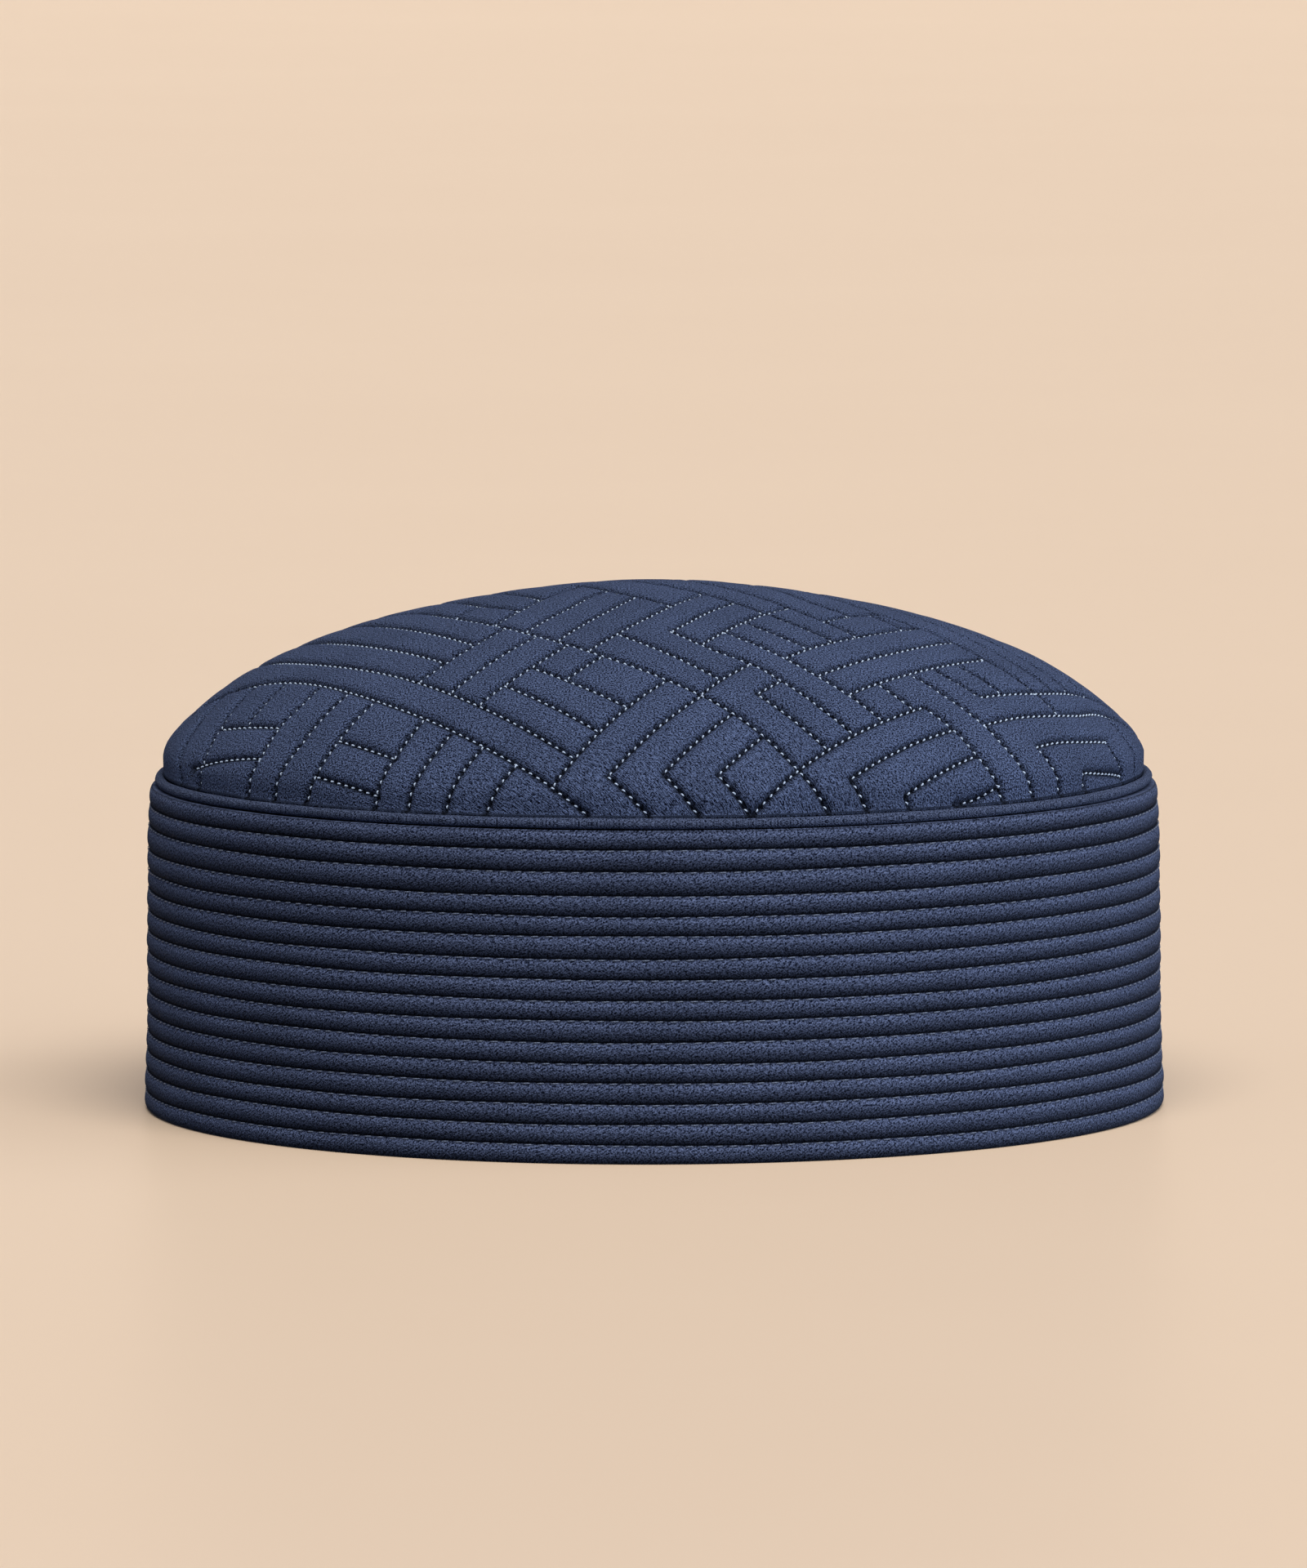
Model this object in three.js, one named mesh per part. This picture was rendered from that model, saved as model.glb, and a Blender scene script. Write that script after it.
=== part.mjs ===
// A kufi: a round cap without a brim, with a quilted, domed crown on an upright corded band.
// Millimetres, +Z up. The origin is on the surface that the cap rests on, under the top of the crown.

import * as THREE from 'three';

// Sizes of the whole cap
const HEAD_CIRCUMFERENCE = 580;
const INNER_RADIUS = HEAD_CIRCUMFERENCE / (2 * Math.PI);
const SIDES = 48;
const SEAT_GAP = 0.3;

// The band, a strip of cloth with a cord sewn into each of its level channels.
// One row for each rib, from the rim up: its height, and the radius of its crest.
const RIBS = [
  { height: 3.6, crest: 96.8 },
  { height: 3.8, crest: 96.7 },
  { height: 3.7, crest: 96.5 },
  { height: 3.8, crest: 96.4 },
  { height: 3.7, crest: 96.3 },
  { height: 3.9, crest: 96.3 },
  { height: 3.9, crest: 96.2 },
  { height: 3.7, crest: 96.2 },
  { height: 3.9, crest: 96.2 },
  { height: 3.8, crest: 96.1 },
  { height: 4.1, crest: 96.1 },
  { height: 3.7, crest: 96.0 },
  { height: 3.8, crest: 96.1 },
  { height: 4.4, crest: 96.0 },
  { height: 3.9, crest: 95.8 },
  { height: 3.5, crest: 95.5 },
];
const GROOVE_DEPTH = 0.9;
const RIB_FLATNESS = 4;
const RIB_STEPS = [0, 0.12, 0.5, 0.88];
// The inside opens out by the flare at the rim, and closes in by the inset over the inset height at the top
const RIM_FLARE = 0.6;
const TOP_INSET = 2.0;
const INSET_HEIGHT = 12;

// The crown, a quilted dome. One row for each ring of its outside, from the top down.
const CROWN_RINGS = [
  { radius: 0, height: 98.9 },
  { radius: 12, height: 98.4 },
  { radius: 24, height: 97.1 },
  { radius: 36, height: 95.1 },
  { radius: 47, height: 92.8 },
  { radius: 57, height: 90.1 },
  { radius: 66, height: 86.8 },
  { radius: 74, height: 83.2 },
  { radius: 80.5, height: 79.3 },
  { radius: 86, height: 75.0 },
  { radius: 90, height: 71.0 },
  { radius: 92, height: 66.8 },
  { radius: 92.9, height: 63.9 },
];
const CROWN_WALL = 2.9;
const FLANGE_WIDTH = 1.9;

// The piping, a thin covered cord in the seam between crown and band
const PIPING_RADIUS = 1.1;
const PIPING_RING_RADIUS = 93.4;
const PIPING_SIDES = 8;

const bandHeight = RIBS.reduce((sum, rib) => sum + rib.height, 0);
const flangeBottom = bandHeight + SEAT_GAP;
const pipingHeight = flangeBottom + PIPING_RADIUS;

const cloth = {
  crown: new THREE.MeshStandardMaterial({ color: 0x34426a, roughness: 0.92, metalness: 0 }),
  piping: new THREE.MeshStandardMaterial({ color: 0x303d60, roughness: 0.92, metalness: 0 }),
  band: new THREE.MeshStandardMaterial({ color: 0x2c3858, roughness: 0.92, metalness: 0 }),
};

// Turns a closed outline of radius and height round the upright axis.
function turned(outline) {
  const points = outline.map(([radius, height]) => new THREE.Vector2(radius, height));
  const geometry = new THREE.LatheGeometry(points, SIDES);
  geometry.rotateX(Math.PI / 2);
  return geometry;
}

// The outside of one rib, a flat-topped swelling between two narrow grooves.
function ribOutline(rib, base, steps) {
  return steps.map((step) => {
    const fall = GROOVE_DEPTH * Math.abs(2 * step - 1) ** RIB_FLATNESS;
    return [rib.crest - fall, base + step * rib.height];
  });
}

function bandOutline() {
  const outline = [];
  let base = 0;
  for (const rib of RIBS) {
    outline.push(...ribOutline(rib, base, RIB_STEPS));
    base += rib.height;
  }
  const topRib = RIBS[RIBS.length - 1];
  outline.push(...ribOutline(topRib, bandHeight - topRib.height, [1]));
  outline.push([INNER_RADIUS - TOP_INSET, bandHeight]);
  outline.push([INNER_RADIUS, bandHeight - INSET_HEIGHT]);
  outline.push([INNER_RADIUS + RIM_FLARE, 0]);
  outline.push(outline[0]);
  return outline;
}

// Each ring of the crown's inside lies one wall thickness square in from the outside.
function insideRing(index) {
  const ring = CROWN_RINGS[index];
  const above = CROWN_RINGS[index - 1];
  const below = CROWN_RINGS[index + 1];
  const run = below.radius - above.radius;
  const drop = above.height - below.height;
  const length = Math.hypot(run, drop);
  return [ring.radius - CROWN_WALL * drop / length, ring.height - CROWN_WALL * run / length];
}

// The wall ends in a flange, the seam allowance that lies behind the piping and on the band.
function crownOutline() {
  const top = CROWN_RINGS[0];
  const seam = CROWN_RINGS[CROWN_RINGS.length - 1];
  const seamInside = seam.radius - CROWN_WALL;
  const outline = [[0, top.height - CROWN_WALL]];
  for (let index = 1; index < CROWN_RINGS.length - 1; index += 1) {
    outline.push(insideRing(index));
  }
  outline.push([seamInside, seam.height]);
  outline.push([seamInside, flangeBottom]);
  outline.push([seamInside + FLANGE_WIDTH, flangeBottom]);
  outline.push([seamInside + FLANGE_WIDTH, seam.height]);
  for (const ring of [...CROWN_RINGS].reverse()) {
    outline.push([ring.radius, ring.height]);
  }
  return outline;
}

function pipingOutline() {
  const outline = [];
  for (let side = 0; side <= PIPING_SIDES; side += 1) {
    const angle = 2 * Math.PI * (side % PIPING_SIDES) / PIPING_SIDES;
    outline.push([
      PIPING_RING_RADIUS + PIPING_RADIUS * Math.cos(angle),
      pipingHeight + PIPING_RADIUS * Math.sin(angle),
    ]);
  }
  return outline;
}

function piece(name, outline, material) {
  const mesh = new THREE.Mesh(turned(outline), material);
  mesh.name = name;
  return mesh;
}

const kufi = new THREE.Group();
kufi.add(piece('band', bandOutline(), cloth.band));
kufi.add(piece('crown_piping', pipingOutline(), cloth.piping));
kufi.add(piece('crown', crownOutline(), cloth.crown));

export default kufi;
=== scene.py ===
# A quilted, corded kufi on a pale floor. Sizes are in millimetres and become metres where a mesh is made.
import math

import bpy
import numpy as np
from mathutils import Matrix, Vector
from mathutils.geometry import delaunay_2d_cdt
from mathutils.kdtree import KDTree


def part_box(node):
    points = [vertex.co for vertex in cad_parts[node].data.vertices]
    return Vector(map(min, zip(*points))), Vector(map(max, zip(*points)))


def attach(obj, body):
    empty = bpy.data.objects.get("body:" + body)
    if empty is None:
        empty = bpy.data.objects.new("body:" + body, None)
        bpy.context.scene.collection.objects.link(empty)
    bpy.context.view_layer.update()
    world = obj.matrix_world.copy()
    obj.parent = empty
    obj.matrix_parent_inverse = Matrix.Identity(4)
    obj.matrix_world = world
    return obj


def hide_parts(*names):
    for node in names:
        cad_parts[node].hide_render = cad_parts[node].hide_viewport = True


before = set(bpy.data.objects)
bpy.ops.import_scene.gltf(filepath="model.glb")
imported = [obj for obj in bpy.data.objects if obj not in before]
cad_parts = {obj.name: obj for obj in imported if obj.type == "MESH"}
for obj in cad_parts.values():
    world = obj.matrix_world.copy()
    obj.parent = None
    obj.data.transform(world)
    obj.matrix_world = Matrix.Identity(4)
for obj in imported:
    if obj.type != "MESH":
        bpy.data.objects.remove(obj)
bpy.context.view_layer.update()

MM = 0.001

# The quilting lattice. An anchor says where the lattice place (across, up) lies on the crown's plan, which
# has the cloth laid out flat round the top of the crown, with x to the right and y to the back.
ANCHORS = (
    # across, up, x, y
    (0, 0, -69.5, -33.0),
    (4, -2, -60.2, -78.5),
    (10, 0, -14.0, -102.5),
    (4, 4, -28.0, -35.5),
    (9, 4, 1.5, -69.0),
    (13, 4, 27.5, -91.0),
    (4, 9, -2.0, 1.0),
    (9, 9, 28.5, -33.5),
    (14, 9, 63.0, -61.5),
    (14, 14, 91.0, -26.0),
)
APEX_ACROSS = 4
APEX_UP = 9
# How far from the seam a line may end and still be led on to it, how straight it must head there, and how
# far its end must be from every other line
SEAM_RUN = 8.0
SEAM_HEADING = 0.45
END_CLEAR = 2.0
# Points to one lattice step of a line, the fewest that make a line, how many show where its end heads, and the
# way between the points that lead it on
LINE_POINTS = 40
LEAST_POINTS = 9
HEADING_POINTS = 5
LED_STEP = 0.1

# The chart. Each row is one line of stitches through the lattice places (across, up), in the front half.
# The back half is the same chart turned half way round, and its lines meet the front ones beyond the top of
# the crown. A line that ends near the seam is led on to it.
LINES_ACROSS = (
    ((-5.2, -1.0), (-2.5, -0.2), (-1.3, 0.0), (4.0, 0.05), (10.8, 0.0)),
    ((-3.5, 1.5), (-0.9, 1.06), (3.5, 1.02), (9.05, 0.88)),
    ((10.05, 0.94), (12.0, 0.8)),
    ((-2.4, 2.6), (-0.5, 2.23), (3.9, 1.96)),
    ((6.0, 1.85), (9.05, 1.79)),
    ((11.0, 1.76), (13.0, 1.5)),
    ((-1.3, 3.7), (0.5, 3.35), (3.9, 2.98)),
    ((6.15, 2.76), (9.05, 2.8)),
    ((11.95, 2.56), (13.15, 2.43)),
    ((-0.35, 4.65), (0.35, 4.55), (2.0, 4.24), (3.9, 4.12), (6.7, 4.09), (8.94, 4.2), (10.9, 4.24),
     (12.1, 4.15), (13.1, 4.0), (15.0, 3.85)),
    ((0.7, 5.7), (1.9, 5.32), (3.4, 5.24)),
    ((6.56, 5.24), (9.85, 5.06)),
    ((10.8, 5.2), (13.08, 5.0)),
    ((13.96, 4.79), (15.5, 4.65)),
    ((1.65, 6.65), (3.2, 6.2)),
    ((7.4, 6.18), (9.0, 6.04), (10.0, 6.15), (11.05, 6.06), (12.1, 5.94), (13.05, 5.88)),
    ((14.9, 5.73), (16.0, 5.6)),
    ((8.25, 7.05), (10.0, 7.0), (13.05, 6.86)),
    ((2.9, 7.9), (4.35, 7.6), (6.2, 7.56)),
    ((8.05, 7.94), (10.0, 7.88)),
    ((12.0, 7.94), (13.06, 7.9)),
    ((13.05, 8.23), (14.2, 8.3), (14.8, 8.23), (16.5, 8.42)),
    ((4.0, 9.0), (7.2, 8.94), (10.0, 8.8)),
    ((12.0, 9.12), (13.06, 9.18), (14.0, 9.29), (15.06, 9.26), (16.5, 9.45)),
    ((5.1, 10.1), (7.05, 9.94), (8.9, 9.76), (10.0, 9.65)),
    ((12.0, 9.96), (13.1, 10.1)),
    ((14.76, 10.27), (16.5, 10.5)),
    ((6.35, 11.35), (7.4, 11.0), (8.75, 10.9)),
    ((11.75, 10.9), (13.06, 11.0)),
    ((15.4, 11.5), (16.5, 11.6)),
    ((8.85, 11.6), (9.85, 11.5)),
    ((7.3, 12.3), (8.65, 12.06), (10.05, 12.2), (13.76, 12.3)),
    ((8.35, 13.35), (12.78, 13.2)),
    ((14.35, 13.5), (14.6, 13.42), (15.06, 13.76), (15.6, 13.9)),
    ((9.3, 14.3), (12.6, 14.1)),
    ((13.15, 14.8), (15.4, 15.0)),
    ((10.4, 15.4), (12.45, 15.1)),
    ((11.5, 16.5), (12.3, 16.1)),
    ((0.82, -1.47), (-1.53, -1.76)),
    ((0.76, -2.4), (-0.82, -2.7), (-2.0, -2.94)),
    ((3.0, -1.33), (4.94, -1.2)),
    ((2.85, -2.35), (4.88, -2.12)),
)
LINES_UP = (
    ((-2.9, -0.35), (-2.95, -3.6)),
    ((-1.5, -0.05), (-1.6, -1.5), (-1.62, -2.9), (-2.1, -3.7)),
    ((-0.3, 0.0), (-0.47, -1.59)),
    ((1.1, 0.0), (1.0, -0.8), (0.82, -1.47), (0.76, -2.4), (0.3, -3.6)),
    ((2.2, 0.0), (2.05, -0.9), (1.88, -1.94), (1.35, -3.5)),
    ((3.2, 0.0), (3.1, -0.65), (3.0, -1.47), (2.88, -2.3), (2.45, -3.3)),
    ((4.94, 0.0), (4.88, -1.47), (4.75, -2.8)),
    ((5.9, 0.0), (5.7, -2.5)),
    ((6.88, 0.0), (6.72, -2.1)),
    ((7.94, 0.0), (7.72, -1.8)),
    ((9.06, 0.0), (9.02, 4.18)),
    ((10.02, 0.94), (10.02, 4.2)),
    ((11.0, 1.76), (10.94, 4.22)),
    ((11.96, 2.56), (11.9, 4.15)),
    ((13.2, 2.0), (13.1, 3.94), (13.06, 8.24)),
    ((3.85, 1.0), (3.94, 2.06), (3.98, 3.0), (3.98, 4.1)),
    ((4.96, 1.0), (5.06, 4.12)),
    ((5.94, 0.96), (6.02, 2.06), (6.08, 3.1), (6.06, 4.08)),
    ((7.14, 2.8), (7.14, 4.08)),
    ((2.0, 4.24), (1.92, 5.3)),
    ((3.53, 4.12), (3.41, 4.88), (3.3, 5.5), (3.15, 6.5), (3.03, 7.87)),
    ((4.6, 4.12), (4.47, 5.1), (4.35, 6.06), (4.18, 6.76), (4.1, 7.62)),
    ((5.67, 4.12), (5.47, 5.35), (5.29, 6.5), (5.06, 7.58)),
    ((6.68, 4.1), (6.56, 5.24), (6.41, 6.3), (6.24, 7.35), (6.06, 8.4), (6.0, 8.96)),
    ((7.41, 6.18), (7.24, 7.1), (7.06, 7.94), (6.94, 8.94)),
    ((8.41, 6.1), (8.24, 7.0), (8.06, 7.94), (7.88, 9.0), (7.8, 9.86)),
    ((9.82, 6.12), (9.88, 5.0), (9.98, 4.22)),
    ((10.76, 6.08), (10.8, 5.2)),
    ((8.88, 9.76), (8.75, 11.0), (8.65, 12.06)),
    ((10.08, 7.0), (10.02, 7.94), (9.98, 9.82), (9.82, 11.5), (9.72, 12.15)),
    ((11.06, 6.96), (11.02, 8.4), (10.94, 9.94), (10.8, 11.0), (10.6, 12.22)),
    ((11.98, 6.92), (11.88, 9.1), (11.76, 10.5), (11.53, 12.24)),
    ((13.1, 10.1), (13.06, 11.1), (12.94, 12.6), (12.6, 14.3), (12.3, 16.1), (11.98, 18.64)),
    ((13.96, 9.3), (13.88, 10.3), (13.76, 12.06), (13.6, 13.2), (13.2, 14.6), (12.95, 16.0), (12.68, 18.86)),
    ((14.76, 10.27), (14.65, 11.1), (14.53, 12.4), (14.35, 13.5)),
    ((15.4, 11.5), (15.3, 12.4), (15.06, 13.76)),
    ((13.96, 4.79), (13.9, 6.76), (13.9, 8.28)),
    ((14.9, 5.73), (14.8, 7.0), (14.7, 8.26)),
    ((15.56, 6.8), (15.62, 7.4), (15.5, 8.4)),
)

# The quilted surface
CLOTH_RISE = 0.4
RISE_FADE = 5.0
SEAM_SWELL = 0.75
SWELL_PLACE = 3.0
SWELL_REACH = 3.8
PUFF_DEPTH = 1.08
PUFF_REACH = 4.0
PUFF_POWER = 5
STITCH_PITCH = 1.95
HOLE_DEPTH = 0.4
HOLE_REACH = 0.5
BROAD_SWELL = 0.05
FINE_SWELL = 0.04
PUCKER_HEIGHT = 0.045
PUCKER_PLACE = 1.3
PUCKER_REACH = 0.9
# Painted shade in the quilting's creases: how far the darkening beside a line reaches, and the share of it
# that follows the needle holes
SHADE_REACH = 0.74
HOLE_SHADE = 0.15
STATIONS_PER_STITCH = 3
# Rows of corners beside a line, close ones and wide ones, and the even fill beyond them. A corner that lies
# nearer another line than the row share of its offset is left out, and so is one within the merge pitch.
NEAR_ROWS = (0.0, 0.3, -0.3, 0.65, -0.65, 1.1, -1.1)
FAR_ROWS = (1.8, -1.8, 2.6, -2.6)
ROW_SHARE = 0.8
MERGE_PITCH = 0.24
FILL_PITCH = 1.5
FILL_FROM = 3.1
EDGE_COLUMNS = 1200
EDGE_ROW = 0.5
EDGE_CLEAR = 0.75
CROWN_WALL = 2.9
# The seam allowance, tucked behind the piping, as radius in from the seam and drop below it
TUCK = ((-0.05, 0.35), (0.15, 0.75), (0.8, 1.1), (1.0, 2.3), (2.9, 2.3), (2.9, 0.3))
# Painted shade on the first four rings of the seam allowance, darkest where it turns in behind the piping
TUCK_SHADES = (0.75, 0.3, 0.1, 0.3)

# The band
BAND_COLUMNS = 540
RIB_RINGS = 4
RIB_ROWS = (0.0, 0.02, 0.06, 0.13, 0.25, 0.4, 0.6, 0.79, 0.91, 0.97)
# Painted shade and light on each rib, row by row from the bottom: dark at the grooves and down the lower part,
# lighter than the cloth's own colour on the upper part, as if lit from above
RIB_SHADES = (0.06, 0.12, 0.2, 0.29, 0.41, 0.6, 0.9, 1.26, 0.95, 0.3)
RIB_DEPTH = 0.72
RIB_CREST = 0.4
RIM_ROUND = 1.2
# Painted shade on the band's lowest row
RIM_SHADE = 0.6
# The unevenness of grooves in height and of ribs in radius, as amplitude, waves to the turn and phase
GROOVE_WAVES = ((0.07, 3, 1.7), (0.05, 7, 2.9), (0.035, 13, 4.3))
CREST_WAVES = ((0.05, 2, 0.9), (0.03, 9, 2.3), (0.02, 23, 3.1))
# A stitch lies out from the groove's bottom and a little below it, and each row starts a share of a pitch on
BAND_STITCH_PITCH = 2.7
BAND_STITCH_OUT = 0.55
BAND_STITCH_DROP = 0.22
BAND_STITCH_STAGGER = 0.37

# Stitches: length, half width, half thickness, lift of the middle, slant
CROWN_STITCH = {"length": 0.82, "wide": 0.18, "thick": 0.14, "arch": 0.32, "slant": 13}
BAND_STITCH = {"length": 1.5, "wide": 0.14, "thick": 0.13, "arch": 0.16, "slant": 4}
STITCH_SIDES = 6
STITCH_RISE = 0.4
STITCH_RINGS = (-0.85, -0.35, 0.35, 0.85)
# How far on along the thread's twist each stitch starts, and how near the seam a line's last stitch may be
TWIST_STEP = 3.7
LAST_STITCH = 0.35

# The piping
PIPING_COLUMNS = 720
PIPING_SIDES = 14
PIPING_PRESSED = 0.12
PIPING_SWELLS = ((0.03, 11, 0.4), (0.025, 29, 1.9), (0.015, 67, 2.2))
PIPING_WAVES = ((0.06, 3, 0.8), (0.04, 8, 2.6))

# The floor, in metres and degrees
FLOOR_RADIUS = 9.0
FLOOR_BEND_RINGS = 16
FLOOR_BEND = 70
BEND_RADIUS = 3.0
FLOOR_SIDES = 96

# The camera's place and view, fitted to the photo
CAMERA_DISTANCE = 2556.0
CAMERA_HEIGHT = 306.0
CAMERA_PITCH = 5.48
CAMERA_ROLL = -0.152
PHOTO_LONG_SIDE = 1920
FOCAL_PIXELS = 16575
SENSOR = 36.0


def corners(node):
    """The radius and height of a node's corners, in millimetres."""
    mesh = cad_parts[node].data
    places = np.empty(len(mesh.vertices) * 3)
    mesh.vertices.foreach_get("co", places)
    places = places.reshape(-1, 3) / MM
    return np.hypot(places[:, 0], places[:, 1]), places[:, 2]


def outer_rings(node):
    """The widest radius at each height of a turned node, from the bottom up."""
    radii, heights = corners(node)
    levels = np.unique(np.round(heights, 3))
    widest = [radii[np.abs(heights - level) < 0.002].max() for level in levels]
    return np.array(widest), levels


def hermite(at, knots, values):
    """A smooth curve through values at knots."""
    knots, values = np.asarray(knots, float), np.asarray(values, float)
    slopes = np.gradient(values, knots, axis=0)
    cell = np.clip(np.searchsorted(knots, at, side="right") - 1, 0, len(knots) - 2)
    width = knots[cell + 1] - knots[cell]
    t = (at - knots[cell]) / width
    if values.ndim > 1:
        t, width = t[:, None], width[:, None]
    start = (1 + 2 * t) * (1 - t) ** 2 * values[cell] + t * (1 - t) ** 2 * width * slopes[cell]
    end = t * t * (3 - 2 * t) * values[cell + 1] + t * t * (t - 1) * width * slopes[cell + 1]
    return start + end


def waves(at, rows, index=1):
    """A sum of sine waves. Each row has an amplitude, the waves to the turn, and a phase for each index."""
    return sum(size * np.sin(at * rate + phase * index) for size, rate, phase in rows)


def add_piece(name, points, faces, material, place=None):
    """A smooth mesh from points in millimetres, with each point's place on the cloth for its material. On the
    cloth the place's third value is painted shade and light, which scales its colour.
    """
    mesh = bpy.data.meshes.new(name)
    mesh.from_pydata((np.asarray(points) * MM).tolist(), [], faces)
    mesh.polygons.foreach_set("use_smooth", [True] * len(mesh.polygons))
    if place is not None:
        attribute = mesh.attributes.new("cloth_place", "FLOAT_VECTOR", "POINT")
        attribute.data.foreach_set("vector", np.asarray(place, np.float32).ravel())
    mesh.materials.append(material)
    mesh.update()
    piece = bpy.data.objects.new(name, mesh)
    bpy.context.scene.collection.objects.link(piece)
    return piece


def grid_faces(rows, columns, first=0, closed_rows=False):
    """Quads between rings of a turned mesh, each ring one row of corners that goes round."""
    faces = []
    for row in range(rows if closed_rows else rows - 1):
        low, high = first + row * columns, first + (row + 1) % rows * columns
        faces += [(low + c, low + (c + 1) % columns, high + (c + 1) % columns, high + c)
                  for c in range(columns)]
    return faces


class Crown:
    """The crown's outside as a turned surface, measured by the way down it from the top."""

    def __init__(self):
        radii, heights = outer_rings("crown")
        rings = [(0.0, heights.max())]
        for radius, height in sorted(zip(radii, heights), key=lambda ring: -ring[1]):
            if radius > rings[-1][0] + 0.5:
                rings.append((radius, height))
        rings = np.array(rings)
        mirrored = rings[1] * (-1, 1)
        self.rings = np.vstack([mirrored, rings])
        steps = np.hypot(*np.diff(self.rings, axis=0).T)
        self.knots = np.concatenate([[0], np.cumsum(steps)]) - steps[0]
        self.seam = self.knots[-1]

    def section(self, way):
        """Radius, height and outward direction at ways down from the top."""
        way = np.asarray(way, float)
        place = hermite(way, self.knots, self.rings)
        step = 0.05
        slope = (hermite(way + step, self.knots, self.rings) - hermite(way - step, self.knots, self.rings))
        slope /= np.linalg.norm(slope, axis=1)[:, None]
        return place[:, 0], place[:, 1], -slope[:, 1], slope[:, 0]

    def on_surface(self, plan, lift):
        """Points over plan places, lifted square from the surface."""
        way = np.hypot(plan[:, 0], plan[:, 1])
        radius, height, out, up = self.section(way)
        turn = plan / np.maximum(way, 1e-6)[:, None]
        return np.column_stack([turn * (radius + lift * out)[:, None], height + lift * up])

    def normals(self, plan):
        way = np.hypot(plan[:, 0], plan[:, 1])
        _, _, out, up = self.section(way)
        return np.column_stack([plan / np.maximum(way, 1e-6)[:, None] * out[:, None], up])


def lattice_terms(across, up):
    """The terms of a quadratic in the lattice's two diagonals, each about 1 at the edge of the crown."""
    p, q = (up + across - 10) / 10, (up - across + 4) / 10
    return np.stack([np.ones_like(p), p, q, p * p, p * q, q * q], -1)


anchors = np.array(ANCHORS, float)
warp = np.linalg.lstsq(lattice_terms(anchors[:, 0], anchors[:, 1]), anchors[:, 2:], rcond=None)[0]


def plan_places(lattice):
    """The plan places of lattice places."""
    return lattice_terms(lattice[:, 0], lattice[:, 1]) @ warp


def led_on(path, others, seam):
    """The path, led straight on to the seam if it ends near it, heads there and meets no other line."""
    last, ahead = path[-1], path[-1] - path[-1 - HEADING_POINTS]
    ahead = ahead / np.linalg.norm(ahead)
    reach = np.linalg.norm(last)
    if last @ ahead / reach < SEAM_HEADING or seam - reach > SEAM_RUN:
        return path
    if min(np.hypot(*(other - last).T).min() for other in others) < END_CLEAR:
        return path
    more = last + ahead * np.arange(LED_STEP, 2 * SEAM_RUN, LED_STEP)[:, None]
    return np.vstack([path, more[np.hypot(more[:, 0], more[:, 1]) < seam - 0.05]])


def spaced(path, spacing):
    """A path resampled evenly, with its direction and the way along it."""
    along = np.concatenate([[0], np.cumsum(np.hypot(*np.diff(path, axis=0).T))])
    at = np.arange(0, along[-1], spacing)
    points = np.column_stack([np.interp(at, along, path[:, axis]) for axis in (0, 1)])
    ahead = np.column_stack([np.interp(at + 0.3, along, path[:, axis]) for axis in (0, 1)])
    behind = np.column_stack([np.interp(at - 0.3, along, path[:, axis]) for axis in (0, 1)])
    direction = ahead - behind
    return points, direction / np.linalg.norm(direction, axis=1)[:, None], at


def stitch_lines(crown):
    """The plan paths of all lines of stitches, none beyond the seam."""
    paths = []
    for row in LINES_ACROSS + LINES_UP:
        row = np.array(row, float)
        turned = (2 * APEX_ACROSS, 2 * APEX_UP) - row
        for points in (row, turned):
            knots = np.concatenate([[0], np.cumsum(np.hypot(*np.diff(points, axis=0).T))])
            lattice = hermite(np.linspace(0, knots[-1], int(knots[-1] * LINE_POINTS) + 2), knots, points)
            path = plan_places(lattice)
            path = path[np.hypot(path[:, 0], path[:, 1]) < crown.seam - 0.05]
            if len(path) >= LEAST_POINTS:
                paths.append(path)
    for index in range(len(paths)):
        others = paths[:index] + paths[index + 1:]
        path = led_on(paths[index], others, crown.seam)
        path = led_on(path[::-1], others, crown.seam)
        outermost_first = np.linalg.norm(path[0]) > np.linalg.norm(path[-1])
        paths[index] = path if outermost_first else path[::-1]
    return paths


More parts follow.
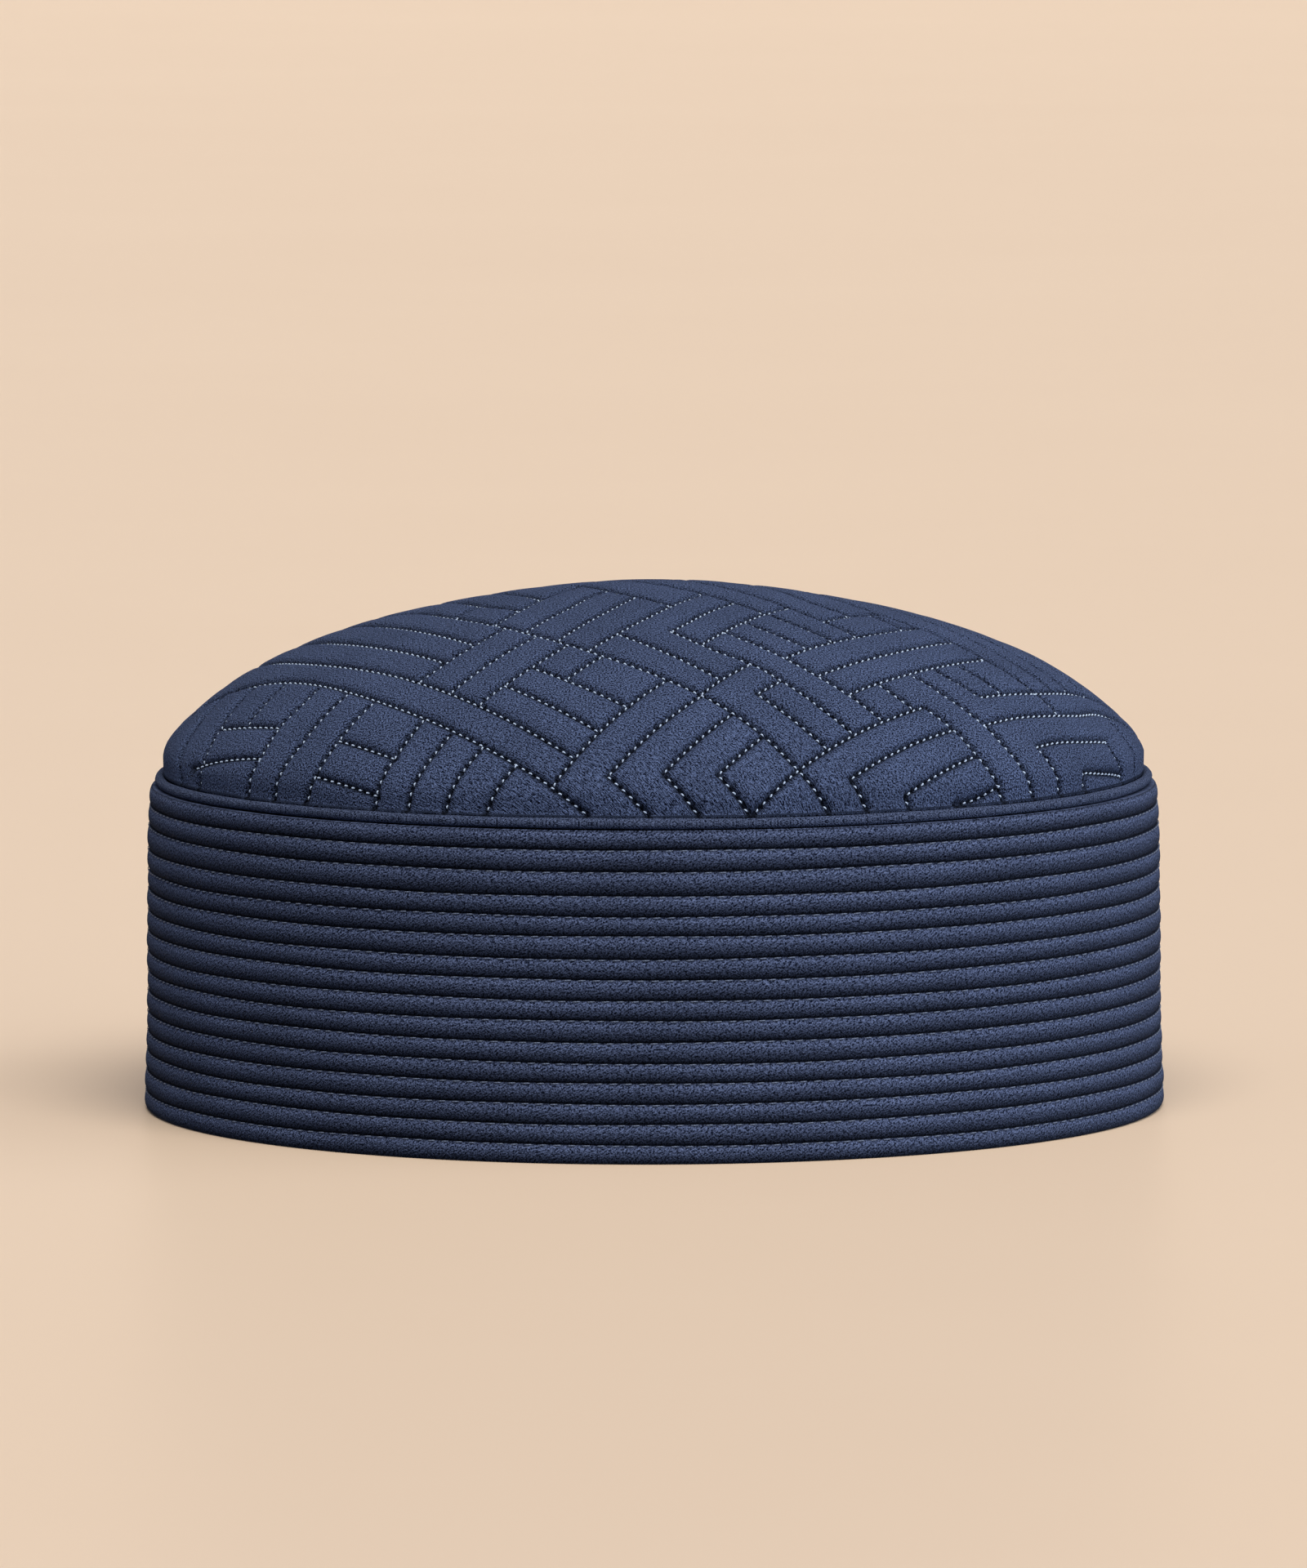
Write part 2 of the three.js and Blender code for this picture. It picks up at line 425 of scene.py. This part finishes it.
class Quilting:
    """The lines of stitches, and the height of the cloth by its way from the nearest one."""

    def __init__(self, crown):
        self.crown = crown
        self.paths = stitch_lines(crown)
        fine = [spaced(path, STITCH_PITCH / 9) for path in self.paths]
        self.places = np.vstack([points for points, _, _ in fine])
        self.along = np.concatenate([at for _, _, at in fine])
        self.tree = KDTree(len(self.places))
        for index, (x, y) in enumerate(self.places):
            self.tree.insert((x, y, 0), index)
        self.tree.balance()

    def nearest(self, plan):
        found = [self.tree.find((x, y, 0)) for x, y in plan]
        return np.array([hit[2] for hit in found]), self.along[[hit[1] for hit in found]]

    def rise(self, plan):
        """How far the tops of the pads stand off the crown's smooth surface: most just above the seam, where
        the cloth turns in to the piping, and none at it."""
        inward = self.crown.seam - np.hypot(plan[:, 0], plan[:, 1])
        swell = SEAM_SWELL * np.exp(-((inward - SWELL_PLACE) / SWELL_REACH) ** 2)
        return CLOTH_RISE * np.clip(inward / RISE_FADE, 0, 1) + swell * np.clip(inward / SWELL_PLACE, 0, 1)

    def lift(self, plan, way, along):
        """How far the cloth stands off the crown's smooth surface."""
        puff = -PUFF_DEPTH * np.clip(1 - way / PUFF_REACH, 0, 1) ** PUFF_POWER
        phase = 2 * math.pi * along / STITCH_PITCH
        holes = -HOLE_DEPTH * (0.5 + 0.5 * np.cos(phase)) * np.exp(-(way / HOLE_REACH) ** 2)
        x, y = plan[:, 0], plan[:, 1]
        soft = np.clip(way / PUFF_REACH, 0, 1)
        uneven = BROAD_SWELL * np.sin(x / 5.3 + 1.1) * np.sin(y / 6.1 + 0.4)
        uneven += FINE_SWELL * np.sin(x / 3.1 + y / 2.7)
        beside = np.exp(-((way - PUCKER_PLACE) / PUCKER_REACH) ** 2)
        pucker = PUCKER_HEIGHT * np.sin(phase * 0.5 + x * 0.9) * beside
        return self.rise(plan) + puff + holes + uneven * soft + pucker

    def shade(self, way, along):
        """Painted shade in the cloth's colour: dark in the crease of a line, darkest in the needle holes."""
        crease = np.exp(-(way / SHADE_REACH) ** 2)
        return 1 - crease * (1 - HOLE_SHADE + HOLE_SHADE * np.cos(2 * math.pi * along / STITCH_PITCH))


def quilted_points(quilting):
    """Plan places of the crown's mesh: rows along each line of stitches, and an even fill between them."""
    rows = []
    for offsets, every in ((NEAR_ROWS, 1), (FAR_ROWS, 2)):
        for offset in offsets:
            for path in quilting.paths:
                points, direction, _ = spaced(path, STITCH_PITCH / STATIONS_PER_STITCH * every)
                side = np.column_stack([-direction[:, 1], direction[:, 0]])
                moved = points + side * offset
                way = quilting.nearest(moved)[0] if offset else np.zeros(len(moved))
                rows.append(moved[way >= abs(offset) * ROW_SHARE])
    reach = quilting.crown.seam
    count = int(reach / FILL_PITCH) + 2
    across, deep = np.meshgrid(np.arange(-count, count), np.arange(-count * 1.2, count * 1.2))
    fill = np.column_stack([((across + (deep % 2) / 2) * FILL_PITCH).ravel(),
                            (deep * FILL_PITCH * math.sqrt(0.75)).ravel()])
    fill = fill[np.hypot(fill[:, 0], fill[:, 1]) < reach]
    rows.append(fill[quilting.nearest(fill)[0] > FILL_FROM])
    places = np.vstack(rows)
    places = places[np.hypot(places[:, 0], places[:, 1]) < reach - EDGE_CLEAR]
    _, first = np.unique(np.round(places / MERGE_PITCH).astype(int), axis=0, return_index=True)
    places = places[np.sort(first)]
    angles = np.arange(EDGE_COLUMNS) * 2 * math.pi / EDGE_COLUMNS
    circle = np.column_stack([np.cos(angles), np.sin(angles)])
    return np.vstack([places, circle * (reach - EDGE_ROW), circle * reach])


def make_crown(crown, quilting, material):
    """The quilted outside, its seam allowance behind the piping, and a plain inside one wall thickness in."""
    found = delaunay_2d_cdt([Vector(place) for place in quilted_points(quilting)], [], [], 0, 0.04, False)
    plan = np.array([tuple(v) for v in found[0]])
    faces = [tuple(face) for face in found[2]]
    way, along = quilting.nearest(plan)
    points = crown.on_surface(plan, quilting.lift(plan, way, along))
    edge = np.nonzero(np.hypot(plan[:, 0], plan[:, 1]) > crown.seam - 0.01)[0]
    edge = edge[np.argsort(np.arctan2(plan[edge, 1], plan[edge, 0]))]
    turn = plan[edge] / crown.seam
    radius, height, out, up = crown.section(crown.knots[1:])
    seam_radius, seam_height = radius[-1], height[-1]
    inside = [(seam_radius - inward, seam_height - drop) for inward, drop in TUCK]
    inside += [(r - CROWN_WALL * o, z - CROWN_WALL * u)
               for r, z, o, u in list(zip(radius, height, out, up))[-2:0:-2]]
    all_points, all_plan, previous = [points], [plan], edge
    total = len(points)
    for ring_radius, ring_height in inside:
        all_points.append(np.column_stack([turn * ring_radius, np.full(len(edge), ring_height)]))
        all_plan.append(turn * ring_radius)
        ring = np.arange(total, total + len(edge))
        faces += [(previous[c], ring[c], ring[(c + 1) % len(edge)], previous[(c + 1) % len(edge)])
                  for c in range(len(edge))]
        previous, total = ring, total + len(edge)
    all_points.append([[0, 0, height[0] - CROWN_WALL]])
    all_plan.append([[0, 0]])
    faces += [(previous[c], total, previous[(c + 1) % len(edge)]) for c in range(len(edge))]
    place = np.vstack(all_plan)
    # The place's third value is painted shade: dark in the creases and needle holes of the quilting
    shade = np.ones(len(place))
    shade[:len(plan)] = quilting.shade(way, along)
    # Painted shade on the seam allowance's rings, darkest where it tucks in behind the piping
    for ring, ring_shade in enumerate(TUCK_SHADES):
        start = len(plan) + ring * EDGE_COLUMNS
        shade[start:start + EDGE_COLUMNS] = ring_shade * shade[edge]
    place = np.column_stack([place, shade])
    return add_piece("crown_quilted", np.vstack(all_points), faces, material, place)


def stitch_shape(size):
    """One stitch as a small arched capsule along x: its corners and faces."""
    half = size["length"] / 2
    shape, faces = [(-half, 0, -size["arch"])], []
    for t in STITCH_RINGS:
        girth = (1 - t * t) ** 0.4
        for side in range(STITCH_SIDES):
            angle = 2 * math.pi * side / STITCH_SIDES
            shape.append((t * half, size["wide"] * girth * math.cos(angle),
                          size["thick"] * girth * math.sin(angle) - size["arch"] * t * t))
    shape.append((half, 0, -size["arch"]))
    last = len(shape) - 1
    for side in range(STITCH_SIDES):
        after = (side + 1) % STITCH_SIDES
        faces.append((0, 1 + after, 1 + side))
        for ring in range(len(STITCH_RINGS) - 1):
            low = 1 + ring * STITCH_SIDES
            high = low + STITCH_SIDES
            faces.append((low + side, low + after, high + after, high + side))
        low = 1 + (len(STITCH_RINGS) - 1) * STITCH_SIDES
        faces.append((last, low + side, low + after))
    return np.array(shape), faces


def make_stitches(name, centres, along, outward, size, material):
    """All stitches of a kind in one mesh, each set at its centre, along its line and square to the cloth."""
    shape, faces = stitch_shape(size)
    side = np.cross(outward, along)
    slant = math.radians(size["slant"])
    forward = along * math.cos(slant) + side * math.sin(slant)
    side = np.cross(outward, forward)
    axes = np.stack([forward, side, outward], 1)
    points = centres[:, None, :] + np.einsum("vk,nkd->nvd", shape, axes)
    place = np.broadcast_to(shape, points.shape) + (np.arange(len(centres)) * TWIST_STEP)[:, None, None]
    all_faces = [tuple(index + start for index in face)
                 for start in range(0, len(centres) * len(shape), len(shape)) for face in faces]
    return add_piece(name, points.reshape(-1, 3), all_faces, material, place.reshape(-1, 3))


def make_crown_stitches(crown, quilting, material):
    plans, directions = [], []
    for path in quilting.paths:
        points, direction, at = spaced(path, STITCH_PITCH / 2)
        middle = slice(1, None, 2)
        keep = np.hypot(points[middle, 0], points[middle, 1]) < crown.seam - LAST_STITCH
        plans.append(points[middle][keep])
        directions.append(direction[middle][keep])
    plan, direction = np.vstack(plans), np.vstack(directions)
    level = quilting.rise(plan) - PUFF_DEPTH + STITCH_RISE
    centres = crown.on_surface(plan, level)
    step = 0.3
    along = crown.on_surface(plan + direction * step, level) - centres
    outward = crown.normals(plan)
    along -= outward * np.sum(along * outward, 1)[:, None]
    along /= np.linalg.norm(along, axis=1)[:, None]
    return make_stitches("crown_stitches", centres, along, outward, CROWN_STITCH, material)


class Band:
    """The band's ribs as the frame has them, with the small unevenness of sewn cloth."""

    def __init__(self):
        radii, heights = outer_rings("band")
        outside = radii > (radii.max() + radii.min()) / 2
        radii, heights = radii[outside], heights[outside]
        self.grooves = heights[::RIB_RINGS]
        self.crests = radii[RIB_RINGS // 2::RIB_RINGS]

    def groove_height(self, index, angle):
        if index in (0, len(self.crests)):
            return np.full_like(angle, self.grooves[index])
        return self.grooves[index] + waves(angle, GROOVE_WAVES, index)

    def groove_radius(self, index):
        near = [self.crests[k] for k in (index - 1, index) if 0 <= k < len(self.crests)]
        return sum(near) / len(near) - RIB_DEPTH

    def surface(self, index, share, angle):
        """Radius and height on rib number index, at a share of its height."""
        low, high = self.groove_height(index, angle), self.groove_height(index + 1, angle)
        height = low + (high - low) * share
        reach = RIB_CREST if share < RIB_CREST else 1 - RIB_CREST
        fall = RIB_DEPTH * (1 - math.sqrt(1 - ((share - RIB_CREST) / reach) ** 2))
        return self.crests[index] - fall + waves(angle, CREST_WAVES, index), height


def make_band(band, material):
    angle = np.arange(BAND_COLUMNS) * 2 * math.pi / BAND_COLUMNS
    turn = np.column_stack([np.cos(angle), np.sin(angle)])
    inner_radii, inner_heights = corners("band")
    inner = inner_radii < (inner_radii.max() + inner_radii.min()) / 2
    inside = sorted({(round(z, 1), round(r, 1)) for r, z in zip(inner_radii[inner], inner_heights[inner])})
    rings = []
    for index in range(len(band.crests)):
        for share in RIB_ROWS:
            radius, height = band.surface(index, share, angle)
            if index == 0 and share < 0.5:
                low = (0.5 - share) / 0.5
                radius = band.crests[0] - RIM_ROUND * (1 - math.sqrt(max(0.0, 1 - low ** 3)))
                radius = np.full_like(angle, radius)
            rings.append((radius, height))
    radius, height = band.surface(len(band.crests) - 1, 1.0, angle)
    rings.append((radius, height))
    for height, radius in reversed(inside):
        rings.append((np.full_like(angle, radius), np.full_like(angle, height)))
    points = np.vstack([np.column_stack([turn * radius[:, None], height]) for radius, height in rings])
    arc = np.minimum(angle, 2 * math.pi - angle) * band.crests[0]
    # Painted shade and light by row, carried as the place's third value
    shades = list(RIB_SHADES) * len(band.crests)
    shades[0] = RIM_SHADE
    shades += [1] * (len(rings) - len(shades))
    place = np.vstack([np.column_stack([arc, height, np.full_like(arc, shade)])
                       for (radius, height), shade in zip(rings, shades)])
    faces = grid_faces(len(rings), BAND_COLUMNS, closed_rows=True)
    return add_piece("band_corded", points, faces, material, place)


def make_band_stitches(band, material):
    centres, along, outward = [], [], []
    for index in range(1, len(band.crests)):
        radius = band.groove_radius(index) + BAND_STITCH_OUT
        count = int(2 * math.pi * radius / BAND_STITCH_PITCH)
        angle = (np.arange(count) + BAND_STITCH_STAGGER * index) * 2 * math.pi / count
        height = band.groove_height(index, angle) - BAND_STITCH_DROP
        centres.append(np.column_stack([radius * np.cos(angle), radius * np.sin(angle), height]))
        along.append(np.column_stack([-np.sin(angle), np.cos(angle), np.zeros(count)]))
        outward.append(np.column_stack([np.cos(angle), np.sin(angle), np.zeros(count)]))
    return make_stitches("band_stitches", np.vstack(centres), np.vstack(along), np.vstack(outward),
                         BAND_STITCH, material)


def make_piping(material):
    low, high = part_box("crown_piping")
    tube = (high.z - low.z) / 2 / MM - PIPING_PRESSED
    ring_radius, middle = high.x / MM - tube, low.z / MM + tube - PIPING_PRESSED
    angle = np.arange(PIPING_COLUMNS) * 2 * math.pi / PIPING_COLUMNS
    rings, places = [], []
    for side in range(PIPING_SIDES):
        around = 2 * math.pi * side / PIPING_SIDES
        swell = tube + waves(angle, PIPING_SWELLS)
        radius = ring_radius + swell * math.cos(around)
        height = middle + swell * math.sin(around) + waves(angle, PIPING_WAVES)
        rings.append(np.column_stack([radius * np.cos(angle), radius * np.sin(angle), height]))
        arc = np.minimum(angle, 2 * math.pi - angle) * ring_radius
        girth = min(around, 2 * math.pi - around) * tube
        places.append(np.column_stack([arc, np.full(PIPING_COLUMNS, girth), np.ones(PIPING_COLUMNS)]))
    faces = grid_faces(PIPING_SIDES, PIPING_COLUMNS, closed_rows=True)
    return add_piece("piping_cord", np.vstack(rings), faces, material, np.vstack(places))


class Nodes:
    """A short way to add and join shader nodes."""

    def __init__(self, name):
        self.material = bpy.data.materials.new(name)
        self.material.use_nodes = True
        self.tree = self.material.node_tree
        self.shader = self.tree.nodes["Principled BSDF"]

    def add(self, kind, inputs=(), **settings):
        node = self.tree.nodes.new("ShaderNode" + kind)
        for name, value in settings.items():
            setattr(node, name, value)
        for name, value in dict(inputs).items():
            if isinstance(value, bpy.types.NodeSocket):
                self.tree.links.new(value, node.inputs[name])
            else:
                node.inputs[name].default_value = value
        return node

    def link(self, output, name):
        self.tree.links.new(output, self.shader.inputs[name])

    def set(self, **values):
        for name, value in values.items():
            self.shader.inputs[name.replace("_", " ")].default_value = value


def cloth_material(name, dark, light, streaks, contrast):
    """Brushed microfibre cloth: short fibres that catch the light, fine slanting lines, and painted shade and
    light from the third value of each point's place, dark in the creases and grooves and lighter on the upper
    part of the band's ribs.
    streaks gives the lines' angle, their length and width, and how much they show in most places and at the
    front of the cloth. contrast gives the grain values that are fully dark and fully light."""
    turn, length, width, near, far = streaks
    nodes = Nodes(name)
    place = nodes.add("Attribute", attribute_name="cloth_place").outputs["Vector"]
    parts = nodes.add("SeparateXYZ", {"Vector": place})
    flat = nodes.add("CombineXYZ", {"X": parts.outputs["X"], "Y": parts.outputs["Y"]}).outputs["Vector"]
    fibre = nodes.add("TexNoise", {"Vector": flat, "Scale": 3.0, "Detail": 1.0, "Roughness": 0.6})
    turned = nodes.add("Mapping", {"Vector": flat, "Rotation": (0, 0, math.radians(turn)),
                                   "Scale": (length, width, 1.0)}, vector_type="TEXTURE")
    streak = nodes.add("TexNoise", {"Vector": turned.outputs["Vector"], "Scale": 1.0, "Detail": 0.0})
    mask = nodes.add("MapRange", {"Value": parts.outputs["Y"], "From Min": -72.0, "From Max": -98.0,
                                  "To Min": near, "To Max": far})
    grain = nodes.add("Mix", {0: mask.outputs["Result"], 2: fibre.outputs["Fac"], 3: streak.outputs["Fac"]},
                      data_type="FLOAT")
    grain = grain.outputs[0]
    spread = nodes.add("MapRange", {"Value": grain, "From Min": contrast[0], "From Max": contrast[1]})
    colour = nodes.add("ValToRGB", {"Fac": spread.outputs["Result"]})
    colour.color_ramp.elements[0].color = dark
    colour.color_ramp.elements[1].color = light
    cloud = nodes.add("TexNoise", {"Vector": flat, "Scale": 0.05, "Detail": 3.0})
    shade = nodes.add("MapRange", {"Value": cloud.outputs["Fac"], "From Min": 0.3, "From Max": 0.7,
                                   "To Min": 0.88, "To Max": 1.12})
    # Painted shade and light: the cloud's random tone times the third value of the place
    shade = nodes.add("Math", {0: shade.outputs["Result"], 1: parts.outputs["Z"]}, operation="MULTIPLY")
    shaded = nodes.add("HueSaturation", {"Color": colour.outputs["Color"], "Value": shade.outputs[0]})
    nodes.link(shaded.outputs["Color"], "Base Color")
    bump = nodes.add("Bump", {"Height": grain, "Strength": 1.0, "Distance": 0.0006})
    nodes.link(bump.outputs["Normal"], "Normal")
    nodes.set(Roughness=1.0, Sheen_Weight=0.03, Sheen_Roughness=0.5, Sheen_Tint=(0.5, 0.62, 0.95, 1.0),
              Specular_IOR_Level=0.05)
    return nodes.material


def thread_material(name, colour, shade):
    """Sewing thread with its twist, with painted shade a little darker between the strands."""
    nodes = Nodes(name)
    place = nodes.add("Attribute", attribute_name="cloth_place").outputs["Vector"]
    twist = nodes.add("TexWave", {"Vector": place, "Scale": 1.1, "Distortion": 0.6, "Detail": 1.0},
                      bands_direction="DIAGONAL")
    ramp = nodes.add("ValToRGB", {"Fac": twist.outputs["Fac"]})
    ramp.color_ramp.elements[0].color = shade
    ramp.color_ramp.elements[1].color = colour
    ramp.color_ramp.elements[1].position = 0.45
    nodes.link(ramp.outputs["Color"], "Base Color")
    bump = nodes.add("Bump", {"Height": twist.outputs["Fac"], "Strength": 0.5, "Distance": 0.00006})
    nodes.link(bump.outputs["Normal"], "Normal")
    nodes.set(Roughness=0.6, Sheen_Weight=0.1, Specular_IOR_Level=0.2)
    return nodes.material


def floor_material():
    nodes = Nodes("floor_pale")
    place = nodes.add("TexCoord").outputs["Object"]
    cloud = nodes.add("TexNoise", {"Vector": place, "Scale": 3.0, "Detail": 4.0, "Roughness": 0.6})
    ramp = nodes.add("ValToRGB", {"Fac": cloud.outputs["Fac"]})
    ramp.color_ramp.elements[0].color = (0.87, 0.655, 0.465, 1)
    ramp.color_ramp.elements[1].color = (0.90, 0.685, 0.49, 1)
    nodes.link(ramp.outputs["Color"], "Base Color")
    nodes.set(Roughness=0.42, Specular_IOR_Level=0.35)
    return nodes.material


def make_floor():
    """A level floor that bends up far behind the cap on every side. Its sizes are in metres."""
    rings = [(FLOOR_RADIUS, 0.0)]
    for step in range(1, FLOOR_BEND_RINGS + 1):
        turn = math.radians(FLOOR_BEND) * step / FLOOR_BEND_RINGS
        rings.append((FLOOR_RADIUS + BEND_RADIUS * math.sin(turn), BEND_RADIUS * (1 - math.cos(turn))))
    angles = [2 * math.pi * side / FLOOR_SIDES for side in range(FLOOR_SIDES)]
    places = [(radius * math.cos(angle), radius * math.sin(angle), height)
              for radius, height in rings for angle in angles]
    faces = [tuple(range(FLOOR_SIDES))] + [face[::-1] for face in grid_faces(len(rings), FLOOR_SIDES)]
    mesh = bpy.data.meshes.new("floor")
    mesh.from_pydata(places, [], faces)
    mesh.polygons.foreach_set("use_smooth", [True] * len(mesh.polygons))
    mesh.materials.append(floor_material())
    floor = bpy.data.objects.new("floor", mesh)
    floor.visible_diffuse = False
    floor.visible_shadow = False
    bpy.context.scene.collection.objects.link(floor)


def add_sun(name, toward, spread, power, colour):
    light = bpy.data.lights.new(name, "SUN")
    light.angle = math.radians(spread)
    light.energy = power
    light.color = colour
    item = bpy.data.objects.new(name, light)
    item.rotation_euler = Vector(toward).to_track_quat("Z", "Y").to_euler()
    bpy.context.scene.collection.objects.link(item)


def make_lights():
    world = bpy.data.worlds.new("studio")
    world.use_nodes = True
    world.node_tree.nodes["Background"].inputs["Color"].default_value = (0.86, 0.96, 1.24, 1)
    world.node_tree.nodes["Background"].inputs["Strength"].default_value = 0.16
    bpy.context.scene.world = world
    add_sun("key", (0.1, -0.6, 1.0), 50, 2.83, (1.0, 0.985, 0.96))
    add_sun("side", (0.94, -0.3, 0.24), 80, 1.6, (0.90, 0.99, 1.12))


def make_camera():
    camera = bpy.data.cameras.new("camera")
    camera.sensor_width = SENSOR
    camera.lens = FOCAL_PIXELS * SENSOR / PHOTO_LONG_SIDE
    camera.clip_end = 100
    item = bpy.data.objects.new("camera", camera)
    pitch, roll = math.radians(CAMERA_PITCH), math.radians(CAMERA_ROLL)
    forward = Vector((0, math.cos(pitch), -math.sin(pitch)))
    level_up = Vector((0, math.sin(pitch), math.cos(pitch)))
    level_right = Vector((1, 0, 0))
    right = level_right * math.cos(roll) + level_up * math.sin(roll)
    up = level_up * math.cos(roll) - level_right * math.sin(roll)
    turned = Matrix((right, up, -forward)).transposed().to_4x4()
    item.matrix_world = Matrix.Translation(Vector((0, -CAMERA_DISTANCE, CAMERA_HEIGHT)) * MM) @ turned
    bpy.context.scene.collection.objects.link(item)
    bpy.context.scene.camera = item


def finish_piece(piece, node=None):
    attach(piece, "root")
    if node:
        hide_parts(node)


make_camera()
make_floor()
make_lights()

crown = Crown()
quilting = Quilting(crown)
band = Band()

crown_cloth = cloth_material("crown_cloth", (0.001, 0.002, 0.009, 1), (0.116, 0.155, 0.280, 1),
                             (-46, 1.3, 0.17, 0.15, 0.42), (0.40, 0.62))
band_cloth = cloth_material("band_cloth", (0.002, 0.004, 0.014, 1), (0.126, 0.158, 0.270, 1),
                            (-35, 0.8, 0.3, 0.35, 0.35), (0.37, 0.66))
piping_cloth = cloth_material("piping_cloth", (0.002, 0.004, 0.014, 1), (0.118, 0.148, 0.246, 1),
                              (-35, 0.5, 0.22, 0.35, 0.35), (0.37, 0.66))
crown_thread = thread_material("crown_thread", (0.58, 0.69, 0.85, 1), (0.32, 0.39, 0.53, 1))
band_thread = thread_material("band_thread", (0.150, 0.180, 0.255, 1), (0.080, 0.100, 0.150, 1))

finish_piece(make_crown(crown, quilting, crown_cloth), "crown")
finish_piece(make_crown_stitches(crown, quilting, crown_thread))
finish_piece(make_band(band, band_cloth), "band")
finish_piece(make_band_stitches(band, band_thread))
finish_piece(make_piping(piping_cloth), "crown_piping")

bpy.context.scene.view_settings.view_transform = "Standard"
